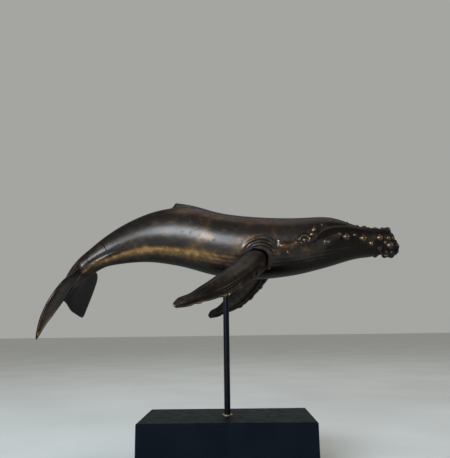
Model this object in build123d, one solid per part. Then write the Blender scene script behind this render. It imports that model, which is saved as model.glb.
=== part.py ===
from build123d import *
import math
import os

# A swimming humpback whale in cast bronze, held by a thin rod over a lacquered block.
# The origin is the centre of the underside, +Z is up and +X points the way the head does.

# Stand, in millimetres
block_length = 150.0
block_width = 80.0
block_height = 38.8
block_edge_radius = 1.2
felt_thickness = 1.2
felt_inset = 2.0
rod_diameter = 5.5
thread_diameter = 4.0
hole_clearance = 0.2
rod_chamfer = 0.4
collar_diameter = 9.2
collar_thickness = 0.8
counterbore_diameter = 15.0
counterbore_depth = 13.0
washer_diameter = 12.0
washer_thickness = 1.0
lock_washer_diameter = 7.6
lock_washer_thickness = 1.0
lock_washer_slit = 1.0
nut_width = 7.0
nut_height = 3.2
thread_stick_out = 1.5

# Whale, in millimetres and degrees
whale_length = 332.0
belly_rise = 124.0
heading_angle = -6.0
casting_wall = 3.5
braze_gap = 0.1
widest_share = 0.5
socket_diameter = 11.0
socket_height = 15.0
socket_stick_out = 1.2
rod_thread_depth = 11.0
bore_spare_depth = 1.0

# Cross-sections from the tail notch to the snout, as shares of the whale's length.
# Each row pairs a point of the back with a point of the belly: back x, back z, belly x,
# belly z, half width, sideways offset, then the fullness of the section and how deep
# the throat pleats are there. x runs from the rod, z from the belly above the rod.
station_shares = [
    (-0.4985, -0.0435, -0.4895, -0.0510, 0.0120, 0.0240, 1.60, 0.0),
    (-0.4890, -0.0060, -0.4640, -0.0240, 0.0225, 0.0150, 1.60, 0.0),
    (-0.4655, 0.0360, -0.4275, -0.0005, 0.0270, 0.0055, 1.60, 0.0),
    (-0.4320, 0.0720, -0.3835, 0.0245, 0.0275, 0.0010, 1.60, 0.0),
    (-0.4065, 0.0920, -0.3555, 0.0375, 0.0290, 0.0, 1.65, 0.0),
    (-0.3705, 0.1200, -0.3180, 0.0445, 0.0325, 0.0, 1.75, 0.0),
    (-0.3240, 0.1500, -0.2710, 0.0485, 0.0410, 0.0, 1.85, 0.0),
    (-0.2740, 0.1745, -0.2185, 0.0480, 0.0530, 0.0, 1.95, 0.0),
    (-0.2185, 0.1940, -0.1685, 0.0410, 0.0655, 0.0, 2.00, 0.0),
    (-0.1565, 0.2045, -0.1145, 0.0290, 0.0760, 0.0, 2.05, 0.0),
    (-0.0905, 0.2025, -0.0650, 0.0140, 0.0835, 0.0, 2.10, 0.0),
    (-0.0240, 0.1865, -0.0150, 0.0010, 0.0880, 0.0, 2.10, 0.3),
    (0.0420, 0.1730, 0.0360, -0.0070, 0.0900, 0.0, 2.15, 0.8),
    (0.1085, 0.1650, 0.0995, -0.0095, 0.0885, 0.0, 2.15, 1.0),
    (0.1715, 0.1605, 0.1610, -0.0050, 0.0845, 0.0, 2.15, 1.0),
    (0.2290, 0.1595, 0.2185, 0.0035, 0.0785, 0.0, 2.15, 1.0),
    (0.2710, 0.1600, 0.2665, 0.0145, 0.0715, 0.0, 2.15, 1.0),
    (0.3070, 0.1555, 0.3055, 0.0245, 0.0650, 0.0, 2.20, 1.0),
    (0.3405, 0.1435, 0.3405, 0.0345, 0.0590, 0.0, 2.25, 1.0),
    (0.3735, 0.1300, 0.3750, 0.0415, 0.0525, 0.0, 2.30, 0.8),
    (0.4095, 0.1225, 0.4095, 0.0450, 0.0450, 0.0, 2.30, 0.4),
    (0.4430, 0.1195, 0.4415, 0.0500, 0.0360, 0.0, 2.30, 0.0),
    (0.4580, 0.1165, 0.4590, 0.0600, 0.0260, 0.0, 2.20, 0.0),
    (0.4630, 0.1090, 0.4650, 0.0780, 0.0150, 0.0, 2.00, 0.0),
]
cut_station = 5
hollow_first_station = 6
hollow_last_station = 21
back_steps = 6
throat_steps = 14
pleat_margin_steps = 2
pleat_depth = 0.5

# Head, in millimetres, with its places as shares of the whale's length
mouth_line_shares = [
    (0.2575, 0.0920),
    (0.2660, 0.1070),
    (0.2800, 0.1160),
    (0.3030, 0.1225),
    (0.3370, 0.1205),
    (0.3760, 0.1165),
    (0.4220, 0.1130),
    (0.4900, 0.1055),
]
mouth_groove_width = 1.1
mouth_groove_depth = 1.2
chin_centre_shares = (0.4530, 0.0, 0.0680)
chin_radii_shares = (0.0250, 0.0320, 0.0255)
eye_place_shares = (0.2200, 0.0890)
eye_radius = 1.5
lid_radius = 3.9
lid_width = 1.2
lid_height = 0.7
fold_root_depth = 1.0
lid_first_angle = 25.0
lid_last_angle = 165.0

# Knobs on the sides of the head, the same on both sides: x, z and radius
side_knob_shares = [
    (0.3350, 0.0945, 0.0078),
    (0.3800, 0.0885, 0.0072),
    (0.4240, 0.0875, 0.0069),
    (0.4060, 0.0740, 0.0051),
    (0.4260, 0.0600, 0.0072),
    (0.4400, 0.0530, 0.0057),
    (0.4520, 0.0660, 0.0084),
    (0.2430, 0.1030, 0.0042),
]
knob_stick_out = 0.7

# Knobs on the top of the rostrum and round the chin: x, y, z and radius
front_knob_shares = [
    (0.3880, 0.0220, 0.1240, 0.0048),
    (0.4180, 0.0200, 0.1205, 0.0048),
    (0.4370, 0.0160, 0.1195, 0.0051),
    (0.4520, 0.0110, 0.1165, 0.0057),
    (0.4590, 0.0190, 0.0880, 0.0069),
    (0.4690, 0.0110, 0.0820, 0.0069),
    (0.4750, 0.0110, 0.0620, 0.0069),
    (0.4620, 0.0180, 0.0550, 0.0069),
    (0.4430, 0.0100, 0.0475, 0.0063),
    (0.4200, 0.0100, 0.0445, 0.0051),
]
middle_knob_shares = [
    (0.4020, 0.0, 0.1230, 0.0048),
    (0.4330, 0.0, 0.1200, 0.0051),
    (0.4770, 0.0, 0.0720, 0.0066),
    (0.4620, 0.0, 0.0500, 0.0066),
]

# Skin folds over each flipper's root: arcs about one centre
fold_centre_shares = (0.1070, 0.0390)
fold_radius_shares = [0.0373, 0.0461, 0.0548]
fold_width = 1.4
fold_height = 0.8
fold_first_angle = 38.0
fold_last_angle = 136.0
arc_steps = 12

# Dorsal fin, as shares of the whale's length
fin_foot_shares = (-0.1080, 0.1930)
fin_foot_length_share = 0.1050
fin_foot_width_share = 0.0330
fin_tip_shares = (-0.1390, 0.2230)
fin_tip_length_share = 0.0130
fin_tip_width_share = 0.0070

# Flippers: how far out each section lies, its leading and trailing edge along the chord,
# its bow outwards and its thickness, as shares of the flipper's length
flipper_length = 100.0
shoulder_shares = (0.0995, 0.0815, 0.0480)
flipper_span_shares = (-0.631, 0.607, -0.483)
flipper_chord_shares = (0.652, 0.076, -0.755)
flipper_shares = [
    (-0.160, 0.065, -0.090, -0.065, 0.120),
    (-0.050, 0.085, -0.085, -0.015, 0.120),
    (0.030, 0.140, -0.076, 0.012, 0.110),
    (0.100, 0.160, -0.066, 0.020, 0.098),
    (0.180, 0.168, -0.050, 0.030, 0.086),
    (0.280, 0.177, -0.028, 0.040, 0.077),
    (0.400, 0.180, -0.021, 0.048, 0.070),
    (0.520, 0.178, -0.017, 0.053, 0.063),
    (0.640, 0.160, -0.011, 0.050, 0.056),
    (0.760, 0.122, -0.010, 0.040, 0.049),
    (0.860, 0.087, -0.015, 0.027, 0.040),
    (0.935, 0.050, -0.022, 0.012, 0.030),
    (0.980, 0.020, -0.014, 0.002, 0.018),
]
flipper_knob_first_station = 3
flipper_knob_last_station = 11
flipper_knob_radius = 2.3
flipper_knob_inset = 0.9
fin_section_steps = 16
fin_front_share = 0.33
peg_diameter = 6.0
peg_length = 15.0
peg_place_shares = (0.1040, 0.0550, 0.0430)

# Flukes: span, leading edge and trailing edge along the tail, and thickness of each
# section, as shares of the half span. The sheet bends down along the tail.
fluke_half_span = 46.5
fluke_notch_shares = (-0.4980, 0.0, -0.0590)
fluke_pivot_share = -0.7100
fluke_slope_angle = 63.5
fluke_turn_angle = -12.5
fluke_roll_angle = 3.5
fluke_bend_radius = 156.0
fluke_droop_share = 0.1360
fluke_root_droop_share = 0.0360
fluke_shares = [
    (0.00, -0.950, 0.000, 0.200),
    (0.17, -0.915, 0.095, 0.150),
    (0.35, -0.805, 0.240, 0.115),
    (0.60, -0.750, 0.385, 0.095),
    (0.80, -0.610, 0.525, 0.080),
    (0.92, -0.340, 0.560, 0.065),
    (0.98, 0.070, 0.560, 0.048),
    (1.00, 0.300, 0.525, 0.025),
]
spigot_diameter = 8.0
spigot_length = 11.0

overrun = 40.0
cutter_size = 800.0


def whale_place(x_share, y_share, z_share):
    """A point of the whale in its own frame, with z from the belly over the rod."""
    return Vector(x_share, y_share, z_share) * whale_length


def closed_spline(points):
    return Wire([Edge.make_spline(points, periodic=True)])


def power(value, exponent):
    return math.copysign(abs(value) ** exponent, value)


def section_wire(row, outset):
    """One closed cross-section of the body, grown outwards by the outset."""
    back_x, back_z, belly_x, belly_z, half_width, sideways, fullness, pleats = row
    back = whale_place(back_x, sideways, back_z)
    belly = whale_place(belly_x, sideways, belly_z)
    up = (back - belly).normalized()
    depth = (back - belly).length
    centre = belly + up * depth * widest_share
    width_radius = half_width * whale_length + outset
    back_radius = depth * (1 - widest_share) + outset
    belly_radius = depth * widest_share + outset
    edges = []
    for side in (1, -1):
        points = []
        for i in range(back_steps):
            angle = math.pi / 2 * i / back_steps
            wide = power(math.sin(angle), 2 / fullness) * width_radius
            rise = power(math.cos(angle), 2 / fullness) * back_radius
            points.append(centre + Vector(0, side * wide, 0) + up * rise)
        for i in range(throat_steps + 1):
            angle = math.pi / 2 * i / throat_steps
            in_pleats = i >= pleat_margin_steps and i % 2
            groove = pleats * pleat_depth if in_pleats and outset >= 0 else 0
            wide = power(max(math.cos(angle), 0), 2 / fullness) * (width_radius - groove)
            rise = power(math.sin(angle), 2 / fullness) * (belly_radius - groove)
            points.append(centre + Vector(0, side * wide, 0) - up * rise)
        across = Vector(0, side, 0)
        edges.append(Edge.make_spline(points, tangents=[across, -across]))
    return Wire(edges)


def body_loft(first, last, outset):
    rows = station_shares[first:last + 1]
    return Solid.make_loft([section_wire(row, outset) for row in rows])


def skin_y(x_share, z_share):
    """Half the body's width at a place on its side."""
    x = x_share * whale_length
    z = z_share * whale_length
    profiles = []
    for back_x, back_z, belly_x, belly_z, half_width, sideways, fullness, pleats in station_shares:
        depth = (back_z - belly_z) * whale_length
        low = belly_z * whale_length
        height_share = min(max((z - low) / depth, 0), 1)
        station_x = (belly_x + (back_x - belly_x) * height_share) * whale_length
        level = abs(height_share - widest_share) / max(widest_share, 1 - widest_share)
        half = half_width * whale_length * (1 - min(level, 1) ** fullness) ** (1 / fullness)
        profiles.append((station_x, half))
    for (x0, y0), (x1, y1) in zip(profiles, profiles[1:]):
        if x0 <= x <= x1:
            return y0 + (y1 - y0) * (x - x0) / (x1 - x0)
    return profiles[-1][1]


def band(points, width, depth):
    """A strip of the given width along points of the side view, deep in Y both ways."""
    ends = [points[0] * 2 - points[1]] + points + [points[-1] * 2 - points[-2]]
    left = []
    right = []
    for before, here, after in zip(ends, points, ends[2:]):
        along = (after - before).normalized()
        across = Vector(-along.Z, 0, along.X) * width / 2
        left.append(here + across)
        right.append(here - across)
    edges = [
        Edge.make_spline(left),
        Edge.make_line(left[-1], right[-1]),
        Edge.make_spline(right[::-1]),
        Edge.make_line(right[0], left[0]),
    ]
    face = Face(Wire(edges))
    return extrude(face, amount=depth, dir=(0, 1, 0), both=True)


def arc_points(centre_shares, radius, first_angle, last_angle):
    centre = whale_place(centre_shares[0], 0, centre_shares[1])
    points = []
    for i in range(arc_steps + 1):
        angle = math.radians(first_angle + (last_angle - first_angle) * i / arc_steps)
        points.append(centre + Vector(math.cos(angle), 0, math.sin(angle)) * radius)
    return points


def ball(centre, radius):
    return Pos(centre) * Sphere(radius)


def both_sides(place):
    return [place, Vector(place.X, -place.Y, place.Z)]


def head_knobs():
    knobs = []
    for x_share, z_share, radius_share in side_knob_shares:
        radius = radius_share * whale_length
        place = whale_place(x_share, 0, z_share)
        side = skin_y(x_share, z_share) + knob_stick_out - radius
        for spot in both_sides(Vector(place.X, side, place.Z)):
            knobs.append(ball(spot, radius))
    for x_share, y_share, z_share, radius_share in front_knob_shares:
        for spot in both_sides(whale_place(x_share, y_share, z_share)):
            knobs.append(ball(spot, radius_share * whale_length))
    for x_share, y_share, z_share, radius_share in middle_knob_shares:
        knobs.append(ball(whale_place(x_share, y_share, z_share), radius_share * whale_length))
    return knobs


def raised_strips(points, width, height):
    """A strip of skin a little proud of both sides of the body, rooted in the wall."""
    outside = body_loft(hollow_first_station, hollow_last_station, height)
    inside = body_loft(hollow_first_station, hollow_last_station, -fold_root_depth)
    return ((band(points, width, overrun) & outside) - inside).solids()


def raised_skin():
    """Eyelids and the folds over the flippers."""
    lid_points = arc_points(eye_place_shares, lid_radius, lid_first_angle, lid_last_angle)
    strips = raised_strips(lid_points, lid_width, lid_height)
    for radius_share in fold_radius_shares:
        radius = radius_share * whale_length
        points = arc_points(fold_centre_shares, radius, fold_first_angle, fold_last_angle)
        strips += raised_strips(points, fold_width, fold_height)
    return strips


def dorsal_fin():
    foot = whale_place(fin_foot_shares[0], 0, fin_foot_shares[1])
    tip = whale_place(fin_tip_shares[0], 0, fin_tip_shares[1])
    foot_face = Pos(foot) * Ellipse(fin_foot_length_share * whale_length / 2,
                                    fin_foot_width_share * whale_length / 2)
    tip_face = Pos(tip) * Ellipse(fin_tip_length_share * whale_length / 2,
                                  fin_tip_width_share * whale_length / 2)
    return loft([foot_face, tip_face])


def eyes():
    place = whale_place(eye_place_shares[0], 0, eye_place_shares[1])
    side = skin_y(*eye_place_shares) + knob_stick_out - eye_radius
    return [ball(spot, eye_radius) for spot in both_sides(Vector(place.X, side, place.Z))]


def mouth_groove():
    """The line of the mouth, cut only as deep as the groove."""
    points = [whale_place(x_share, 0, z_share) for x_share, z_share in mouth_line_shares]
    core = body_loft(cut_station, len(station_shares) - 1, -mouth_groove_depth)
    return band(points, mouth_groove_width, overrun) - core


def chin():
    x_share, y_share, z_share = chin_radii_shares
    stretched = Sphere(whale_length).transform_geometry(Matrix([
        [x_share, 0, 0, 0],
        [0, y_share, 0, 0],
        [0, 0, z_share, 0],
    ]))
    return Pos(whale_place(*chin_centre_shares)) * stretched


def cut_plane():
    """Plane where the tail casting meets the body, facing the head."""
    back_x, back_z, belly_x, belly_z = station_shares[cut_station][:4]
    back = whale_place(back_x, 0, back_z)
    belly = whale_place(belly_x, 0, belly_z)
    up = (back - belly).normalized()
    return Plane(origin=(back + belly) / 2, x_dir=(0, 1, 0), z_dir=Vector(0, 1, 0).cross(up))


def space_behind_cut(gap):
    """Everything behind the cut plane, less a gap."""
    block = Box(cutter_size, cutter_size, cutter_size)
    return cut_plane() * Pos(0, 0, -cutter_size / 2 - gap) * block


def fin_outline(thickness):
    """Places round a fin's section, from the leading edge: chord share and rise."""
    places = []
    for i in range(fin_section_steps):
        angle = 2 * math.pi * i / fin_section_steps
        fatness = 1 + fin_front_share * math.cos(angle)
        places.append((math.cos(angle), thickness / 2 * math.sin(angle) * fatness))
    return places


def flipper_plane(out_share):
    """Plane across the left flipper, with its x towards the leading edge."""
    span = Vector(*flipper_span_shares).normalized()
    origin = whale_place(*shoulder_shares) + span * out_share * flipper_length
    return Plane(origin=origin, x_dir=Vector(*flipper_chord_shares), z_dir=span)


def flipper_blade():
    wires = []
    for out_share, lead, trail, bow, thickness in flipper_shares:
        plane = flipper_plane(out_share)
        points = []
        for chord_share, rise in fin_outline(thickness):
            chord = (lead + trail) / 2 + (lead - trail) / 2 * chord_share
            points.append(plane.from_local_coords(Vector(chord, rise - bow) * flipper_length))
        wires.append(closed_spline(points))
    return Solid.make_loft(wires)


def flipper_knobs():
    knobs = []
    for row in flipper_shares[flipper_knob_first_station:flipper_knob_last_station]:
        out_share, lead, trail, bow, thickness = row
        spot = Vector(lead * flipper_length - flipper_knob_inset, -bow * flipper_length)
        knobs.append(ball(flipper_plane(out_share).from_local_coords(spot), flipper_knob_radius))
    return knobs


def peg(clearance):
    place = whale_place(*peg_place_shares)
    length = peg_length + clearance
    cylinder = Cylinder(peg_diameter / 2 + clearance, length,
                        align=(Align.CENTER, Align.CENTER, Align.MIN))
    return Pos(place - Vector(0, clearance, 0)) * Rot(-90, 0, 0) * cylinder


def fluke_place(along, across, above):
    """A point of the fluke sheet: along the tail, across it and above the sheet."""
    slope = math.radians(fluke_slope_angle)
    angle = slope + along / fluke_bend_radius
    x = fluke_bend_radius * (math.sin(slope) - math.sin(angle)) - above * math.sin(angle)
    z = fluke_bend_radius * (math.cos(angle) - math.cos(slope)) + above * math.cos(angle)
    return whale_place(*fluke_notch_shares) + Vector(x, across, z)


def fluke_droop(span_share):
    root_share = min(span_share / fluke_shares[1][0], 1)
    drop_share = fluke_root_droop_share * root_share + fluke_droop_share * span_share
    return -drop_share * fluke_half_span


def fluke_lobe(side):
    wires = []
    for span_share, lead, trail, thickness in fluke_shares:
        across = side * span_share * fluke_half_span
        points = []
        for chord_share, rise in fin_outline(thickness):
            along = (lead + trail) / 2 + (lead - trail) / 2 * chord_share
            above = fluke_droop(span_share) + rise * fluke_half_span
            points.append(fluke_place(along * fluke_half_span, across, above))
        wires.append(closed_spline(points))
    return Solid.make_loft(wires)


def turned_flukes():
    """Both lobes, turned and rolled about a point of the tail stock."""
    lobes = fluke_lobe(1) + fluke_lobe(-1)
    along = fluke_pivot_share * fluke_half_span
    pivot = fluke_place(along, 0, 0)
    up = (fluke_place(along, 0, 1) - pivot).normalized()
    back = Vector(0, 1, 0).cross(up)
    rolled = lobes.rotate(Axis(pivot, back), fluke_roll_angle)
    return rolled.rotate(Axis(pivot, up), fluke_turn_angle)


def whale_skin():
    """The outside of the whale with everything that stands proud of it."""
    skin = body_loft(cut_station, len(station_shares) - 1, 0)
    return skin.fuse(chin(), dorsal_fin(), *head_knobs(), *eyes(), *raised_skin())


def socket(clearance):
    """Boss for the rod, standing on the belly over the rod, without its bore."""
    cylinder = Cylinder(socket_diameter / 2 + clearance, socket_height,
                        align=(Align.CENTER, Align.CENTER, Align.MIN))
    return Pos(0, 0, -socket_stick_out) * cylinder


def spigot(clearance):
    """Pin of the tail casting, which goes forward into the end of the body."""
    length = spigot_length + clearance
    cylinder = Cylinder(spigot_diameter / 2 + clearance, 2 * length)
    return cut_plane() * cylinder


def mirrored(shape):
    return shape.mirror(Plane.XZ)


def largest(shape):
    return max(shape.solids(), key=lambda solid: solid.volume)


def whale_nodes():
    hollow = body_loft(hollow_first_station, hollow_last_station, -casting_wall)
    body = whale_skin() - mouth_groove() - hollow - socket(braze_gap) - spigot(braze_gap)
    body = body - peg(braze_gap) - mirrored(peg(braze_gap))
    grown_skin = body_loft(cut_station, len(station_shares) - 1, braze_gap)
    left = largest(flipper_blade().fuse(*flipper_knobs()) - grown_skin)
    left = left.fuse(peg(0))
    tail = body_loft(0, cut_station + 1, 0).fuse(turned_flukes()) & space_behind_cut(braze_gap)
    tail = tail.fuse(spigot(0))
    boss = socket(0) - rod_bore()
    return {
        "whale_body": largest(body),
        "left_flipper": left,
        "right_flipper": mirrored(left),
        "tail_flukes": tail,
        "rod_socket": boss,
    }


def rod_bore():
    depth = rod_thread_depth + bore_spare_depth
    bore = Cylinder((thread_diameter + hole_clearance) / 2, depth,
                    align=(Align.CENTER, Align.CENTER, Align.MIN))
    return Pos(0, 0, -socket_stick_out) * bore


def standing_cylinder(diameter, low, high):
    cylinder = Cylinder(diameter / 2, high - low,
                        align=(Align.CENTER, Align.CENTER, Align.MIN))
    return Pos(0, 0, low) * cylinder


def stand_nodes():
    felt_top = felt_thickness
    block_top = felt_top + block_height
    collar_top = block_top + collar_thickness
    roof = felt_top + counterbore_depth
    washer_low = roof - washer_thickness
    lock_low = washer_low - lock_washer_thickness
    nut_low = lock_low - nut_height
    thread_low = nut_low - thread_stick_out
    socket_low = block_top + belly_rise - socket_stick_out
    thread_high = socket_low + rod_thread_depth
    hole_diameter = thread_diameter + hole_clearance

    felt = Box(block_length - 2 * felt_inset, block_width - 2 * felt_inset, felt_thickness,
               align=(Align.CENTER, Align.CENTER, Align.MIN))
    block = Box(block_length, block_width, block_height,
                align=(Align.CENTER, Align.CENTER, Align.MIN))
    block = Pos(0, 0, felt_top) * fillet(block.edges(), block_edge_radius)
    block -= standing_cylinder(hole_diameter, felt_top, block_top)
    block -= standing_cylinder(counterbore_diameter, felt_top, roof)

    shaft = standing_cylinder(rod_diameter, collar_top, socket_low)
    shaft = chamfer(shaft.edges(), rod_chamfer)
    rod = shaft + standing_cylinder(thread_diameter, thread_low, thread_high)

    collar = standing_cylinder(collar_diameter, block_top, collar_top)
    collar -= standing_cylinder(hole_diameter, block_top, collar_top)
    washer = standing_cylinder(washer_diameter, washer_low, roof)
    washer -= standing_cylinder(hole_diameter, washer_low, roof)
    lock = standing_cylinder(lock_washer_diameter, lock_low, washer_low)
    lock -= standing_cylinder(hole_diameter, lock_low, washer_low)
    lock -= Pos(lock_washer_diameter / 2, 0, (lock_low + washer_low) / 2) * Box(
        lock_washer_diameter, lock_washer_slit, lock_washer_thickness)
    nut = extrude(Pos(0, 0, nut_low) * RegularPolygon(nut_width / 2, 6, major_radius=False),
                  nut_height)
    nut -= standing_cylinder(hole_diameter, nut_low, lock_low)
    return {
        "base_felt": felt,
        "base_block": block,
        "support_rod": rod,
        "rod_collar": collar,
        "base_washer": washer,
        "lock_washer": lock,
        "base_nut": nut,
    }


def main():
    belly_height = felt_thickness + block_height + belly_rise
    nodes = stand_nodes()
    for name, shape in whale_nodes().items():
        nodes[name] = Pos(0, 0, belly_height) * Rot(0, 0, heading_angle) * shape

    os.makedirs("parts", exist_ok=True)
    for name, shape in nodes.items():
        export_step(shape, f"parts/{name}.step")
        print(name, len(shape.solids()), "solid", round(shape.volume), "mm3")


if __name__ == "__main__":
    main()
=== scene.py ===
import math

import bmesh
import bpy
import numpy as np
from mathutils import Matrix, Vector
from mathutils.bvhtree import BVHTree
from mathutils.kdtree import KDTree

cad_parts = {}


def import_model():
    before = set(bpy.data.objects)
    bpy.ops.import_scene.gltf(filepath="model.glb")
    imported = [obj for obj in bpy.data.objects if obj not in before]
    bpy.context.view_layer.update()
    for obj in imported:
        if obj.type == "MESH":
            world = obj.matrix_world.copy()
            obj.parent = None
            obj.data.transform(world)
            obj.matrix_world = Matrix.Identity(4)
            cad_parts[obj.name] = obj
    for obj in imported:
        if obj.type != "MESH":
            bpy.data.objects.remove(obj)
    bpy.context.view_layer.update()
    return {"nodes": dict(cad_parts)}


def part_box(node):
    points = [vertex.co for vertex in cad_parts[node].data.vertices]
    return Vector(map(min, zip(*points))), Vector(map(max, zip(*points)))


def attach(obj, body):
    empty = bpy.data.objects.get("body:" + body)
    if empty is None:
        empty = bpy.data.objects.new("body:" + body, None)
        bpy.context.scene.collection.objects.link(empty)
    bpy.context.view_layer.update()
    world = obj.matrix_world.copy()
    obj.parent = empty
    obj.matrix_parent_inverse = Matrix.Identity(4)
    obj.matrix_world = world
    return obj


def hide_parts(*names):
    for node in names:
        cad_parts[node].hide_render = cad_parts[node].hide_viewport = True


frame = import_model()

# A bronze humpback whale on a rod over a black lacquered block. Lengths are in millimetres in
# the whale's own frame: x from the rod towards the head, z from the belly over the rod. The
# felt, the floor, the camera and the lights are in metres in the object's frame.
MM = 0.001
LENGTH = 332.0
BELLY_HEIGHT = 164.0
HEADING = math.radians(-6.0)

# Cross-sections as shares of the whale's length: back x and z, belly x and z, half width,
# sideways offset and the fullness of the section.
STATIONS = np.array([
    (-0.4985, -0.0435, -0.4895, -0.0510, 0.0120, 0.0240, 1.60),
    (-0.4890, -0.0060, -0.4640, -0.0240, 0.0225, 0.0150, 1.60),
    (-0.4655, 0.0360, -0.4275, -0.0005, 0.0270, 0.0055, 1.60),
    (-0.4320, 0.0720, -0.3835, 0.0245, 0.0275, 0.0010, 1.60),
    (-0.4065, 0.0920, -0.3555, 0.0375, 0.0290, 0.0, 1.65),
    (-0.3705, 0.1200, -0.3180, 0.0445, 0.0325, 0.0, 1.75),
    (-0.3240, 0.1500, -0.2710, 0.0485, 0.0410, 0.0, 1.85),
    (-0.2740, 0.1745, -0.2185, 0.0480, 0.0530, 0.0, 1.95),
    (-0.2185, 0.1940, -0.1685, 0.0410, 0.0655, 0.0, 2.00),
    (-0.1565, 0.2045, -0.1145, 0.0290, 0.0760, 0.0, 2.05),
    (-0.0905, 0.2025, -0.0650, 0.0140, 0.0835, 0.0, 2.10),
    (-0.0240, 0.1865, -0.0150, 0.0010, 0.0880, 0.0, 2.10),
    (0.0420, 0.1730, 0.0360, -0.0070, 0.0900, 0.0, 2.15),
    (0.1085, 0.1650, 0.0995, -0.0095, 0.0885, 0.0, 2.15),
    (0.1715, 0.1605, 0.1610, -0.0050, 0.0845, 0.0, 2.15),
    (0.2290, 0.1595, 0.2185, 0.0035, 0.0785, 0.0, 2.15),
    (0.2710, 0.1600, 0.2665, 0.0145, 0.0715, 0.0, 2.15),
    (0.3070, 0.1555, 0.3055, 0.0245, 0.0650, 0.0, 2.20),
    (0.3405, 0.1435, 0.3405, 0.0345, 0.0590, 0.0, 2.25),
    (0.3735, 0.1300, 0.3750, 0.0415, 0.0525, 0.0, 2.30),
    (0.4095, 0.1225, 0.4095, 0.0450, 0.0450, 0.0, 2.30),
    (0.4430, 0.1195, 0.4415, 0.0500, 0.0360, 0.0, 2.30),
    (0.4580, 0.1165, 0.4590, 0.0600, 0.0260, 0.0, 2.20),
    (0.4630, 0.1090, 0.4650, 0.0780, 0.0150, 0.0, 2.00),
])
# The tail is cast apart behind this station
CUT_STATION = 5
# Points round a section, how far they crowd towards the sides, distances between rings, and
# how far along the body the closer ones of the head start
AROUND = 230
CROWDING = 0.15
RING_STEP = 0.85
HEAD_RING_STEP = 0.5
HEAD_START = 150.0
# A ring whose point on the back tells which way the normals face
BODY_PROBE = 20
TAIL_PROBE = 60
# The rounded front of the nose
NOSE_RINGS = 12
NOSE_REACH = 2.6

FLIPPER_LENGTH = 100.0
SHOULDER = (0.0995, 0.0815, 0.0480)
FLIPPER_SPAN = (-0.631, 0.607, -0.483)
FLIPPER_CHORD = (0.652, 0.076, -0.755)
# Out, leading edge, trailing edge, bow and thickness as shares of the flipper's length
FLIPPER = np.array([
    (-0.160, 0.065, -0.090, -0.065, 0.120),
    (-0.050, 0.085, -0.085, -0.015, 0.120),
    (0.030, 0.140, -0.076, 0.012, 0.110),
    (0.100, 0.160, -0.066, 0.020, 0.098),
    (0.180, 0.168, -0.050, 0.030, 0.086),
    (0.280, 0.177, -0.028, 0.040, 0.077),
    (0.400, 0.180, -0.021, 0.048, 0.070),
    (0.520, 0.178, -0.017, 0.053, 0.063),
    (0.640, 0.160, -0.011, 0.050, 0.056),
    (0.760, 0.122, -0.010, 0.040, 0.049),
    (0.860, 0.087, -0.015, 0.027, 0.040),
    (0.935, 0.060, -0.032, 0.012, 0.032),
    (0.980, 0.032, -0.022, 0.002, 0.022),
])
# Rings as shares of the flipper's length, closer together at the tip
FLIPPER_OUTS = np.concatenate([np.linspace(-0.16, 0.9, 170), np.linspace(0.906, 0.98, 22)])
FLIPPER_AROUND = 112
FLIPPER_TIP_RINGS = 5
FLIPPER_TIP_REACH = 1.8
# The lobed leading edge: distance between lobes, the first lobe, how far they stick out, how
# far the edge is drawn in for them and how much they thicken it
LOBE_PERIOD = 0.098
LOBE_START = 0.13
LOBE_HEIGHT = 0.011
LOBE_SINK = 0.002
LOBE_FATNESS = 0.3
# Shares of the length where the lobes start and end, and of the chord where they lie
LOBED_ROOT, LOBED_TIP = (0.06, 0.16), (0.99, 0.90)
LOBED_EDGE, FAT_EDGE = (0.72, 1.0), (0.5, 0.9)
# How uneven the lobes are in place and in height, each with its waves along the flipper
DRIFT, DRIFT_WAVES = 0.016, 23.0
EVEN, UNEVEN, UNEVEN_WAVES = 0.62, 0.38, 31.0
# Two grooves and a low ridge across the chord: depth, place and width
FLIPPER_RELIEF = [(0.0075, 0.60, 0.13), (0.004, -0.82, 0.10), (-0.004, 0.1, 0.35)]
# Wear of both rims, where the front rim also carries a painted highlight, of the front groove, of
# the hidden root and everywhere
FRONT_RIM_WEAR_AND_HIGHLIGHT, FRONT_RIM = 1.3, (0.86, 0.95)
REAR_RIM_WEAR, REAR_RIM = 0.3, (0.88, 0.98)
GROOVE_GRIME = [(0.6, 0.60, 0.12)]
ROOT_GRIME, ROOT_END = 0.3, (0.02, 0.12)
FLIPPER_GRIME = 0.46
# Wear of the rims grows from half to its full along this part of the length
OUTER_PART = (0.35, 0.6)
# Both flippers are drawn in a little sideways, and hang and wear a little differently
FLIPPER_SQUEEZE = (1, 0.972, 1)
LEFT_LIFT, LEFT_WEAR = -2.2, 0.3
RIGHT_LIFT, RIGHT_WEAR = 1.3, 1.0

FLUKE_SPAN = 46.5
FLUKE_NOTCH = (-0.4980, 0.0, -0.0590)
FLUKE_SLOPE = math.radians(63.5)
FLUKE_BEND = 156.0
FLUKE_PIVOT = -0.71
FLUKE_TURN = math.radians(-12.5)
FLUKE_ROLL = math.radians(3.5)
FLUKE_DROOP = 0.136
FLUKE_ROOT_DROOP = 0.036
# Span, leading edge, trailing edge along the tail and thickness, as shares of the half span
FLUKE = np.array([
    (0.00, -0.950, 0.000, 0.200),
    (0.17, -0.915, 0.095, 0.150),
    (0.35, -0.805, 0.240, 0.115),
    (0.60, -0.750, 0.385, 0.095),
    (0.80, -0.645, 0.485, 0.080),
    (0.92, -0.465, 0.525, 0.065),
    (0.98, -0.240, 0.430, 0.055),
    (1.00, 0.040, 0.110, 0.040),
])
FLUKE_RINGS = 181
FLUKE_AROUND = 120
# Half thickness added at the rims, how fast it sets in, and the share of each tip without it
FLUKE_RIM = 0.55
FLUKE_RIM_POWER = 0.25
TIP_SHARE = 0.1
# How much longer and lower the near lobe's tip is, and the share of its span where that starts
NEAR_LOBE_LONGER = 4.4
NEAR_LOBE_LOWER = 0.7
LONGER_FROM = 0.5
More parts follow.
